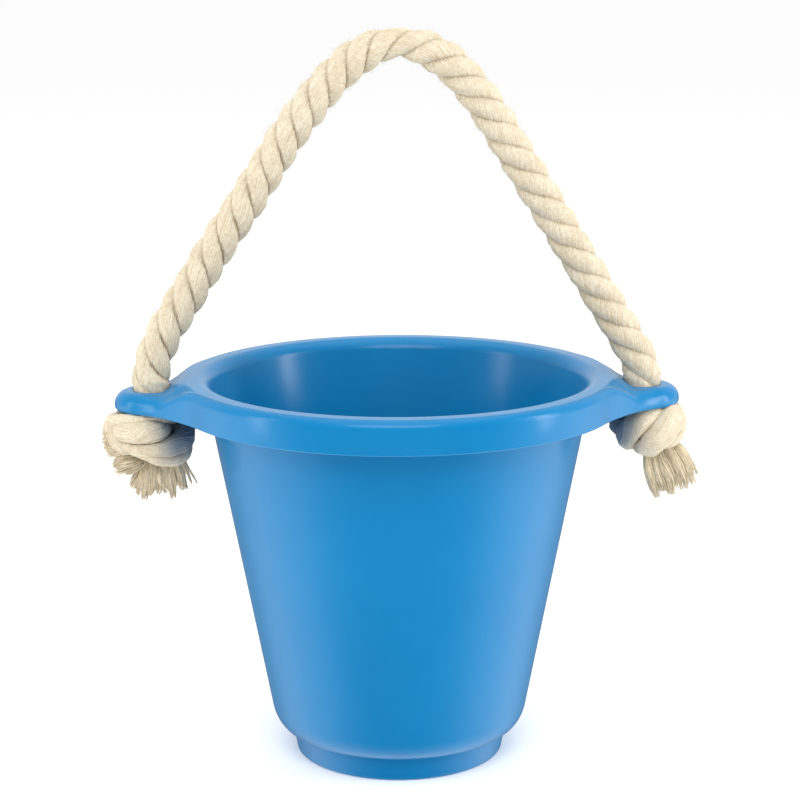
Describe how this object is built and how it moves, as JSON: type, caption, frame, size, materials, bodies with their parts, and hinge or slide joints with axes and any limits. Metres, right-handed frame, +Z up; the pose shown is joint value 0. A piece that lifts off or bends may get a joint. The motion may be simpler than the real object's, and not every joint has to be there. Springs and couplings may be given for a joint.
{
  "type": "sand bucket",
  "caption": "Tapered plastic sand bucket with a rolled rim, a round foot and an ear on each side, carried by a thick laid cotton rope that is knotted under the ears.",
  "frame": {"origin": "centre of the foot's standing face, on the bucket's axis", "axes": "+Z up along the bucket's axis, +X towards the right ear, -Y towards the viewer"},
  "size_m": [0.2265, 0.1662, 0.278],
  "materials": {
    "blue_plastic": "satin moulded plastic, soft sheen",
    "cotton_rope": "undyed laid cotton, matt and slightly hairy"
  },
  "bodies": {
    "bucket": {"bucket_body": "blue_plastic", "rope_neck_left": "cotton_rope", "rope_neck_right": "cotton_rope", "rope_knot_left": "cotton_rope", "rope_knot_right": "cotton_rope", "rope_tail_left": "cotton_rope", "rope_tail_right": "cotton_rope"},
    "handle": {"rope_handle": "cotton_rope"}
  },
  "joints": [
    {"name": "handle_swing", "type": "hinge", "parent": "bucket", "child": "handle", "pos_m": [0, 0, 0.156], "axis": [1, 0, 0], "range_deg": [-90, 90]}
  ]
}
